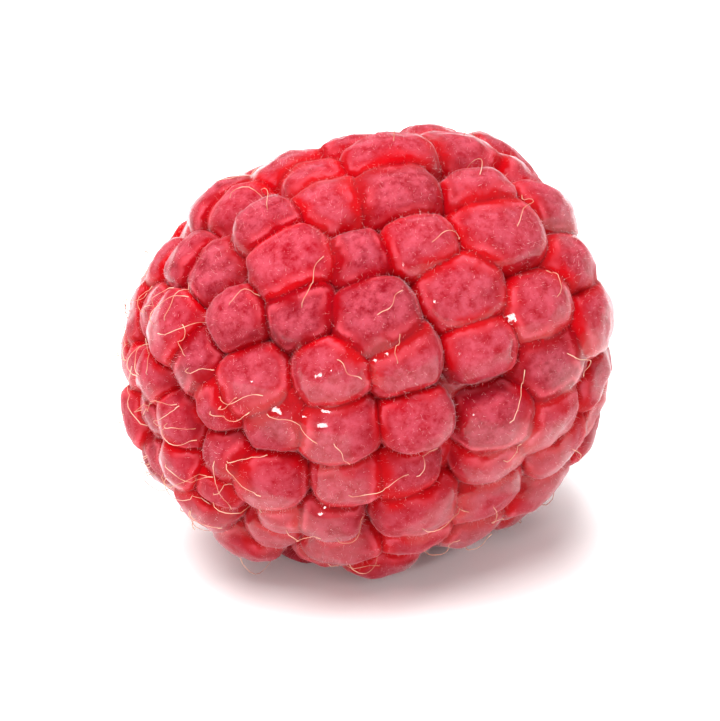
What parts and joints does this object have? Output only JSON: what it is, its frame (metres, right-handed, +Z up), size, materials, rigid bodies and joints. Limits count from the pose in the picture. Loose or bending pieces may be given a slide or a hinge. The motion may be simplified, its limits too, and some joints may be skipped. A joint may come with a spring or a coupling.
{
  "type": "raspberry",
  "caption": "Ripe picked raspberry lying on its side, a hollow thimble of small fused drupelets with an open end.",
  "frame": {"origin": "centre of the bounding box's bottom, on the surface the fruit lies on", "axes": "+Z up; +X toward the open end, with the tip toward -X; the fruit's own axis is tilted 6 degrees about Y, tip down"},
  "size_m": [0.023, 0.0208, 0.0211],
  "materials": {
    "flesh": "soft, slightly translucent fruit skin with a velvety sheen from fine down",
    "styles": "dull, dry plant hairs"
  },
  "bodies": {
    "root": {"raspberry": "flesh"}
  },
  "joints": []
}
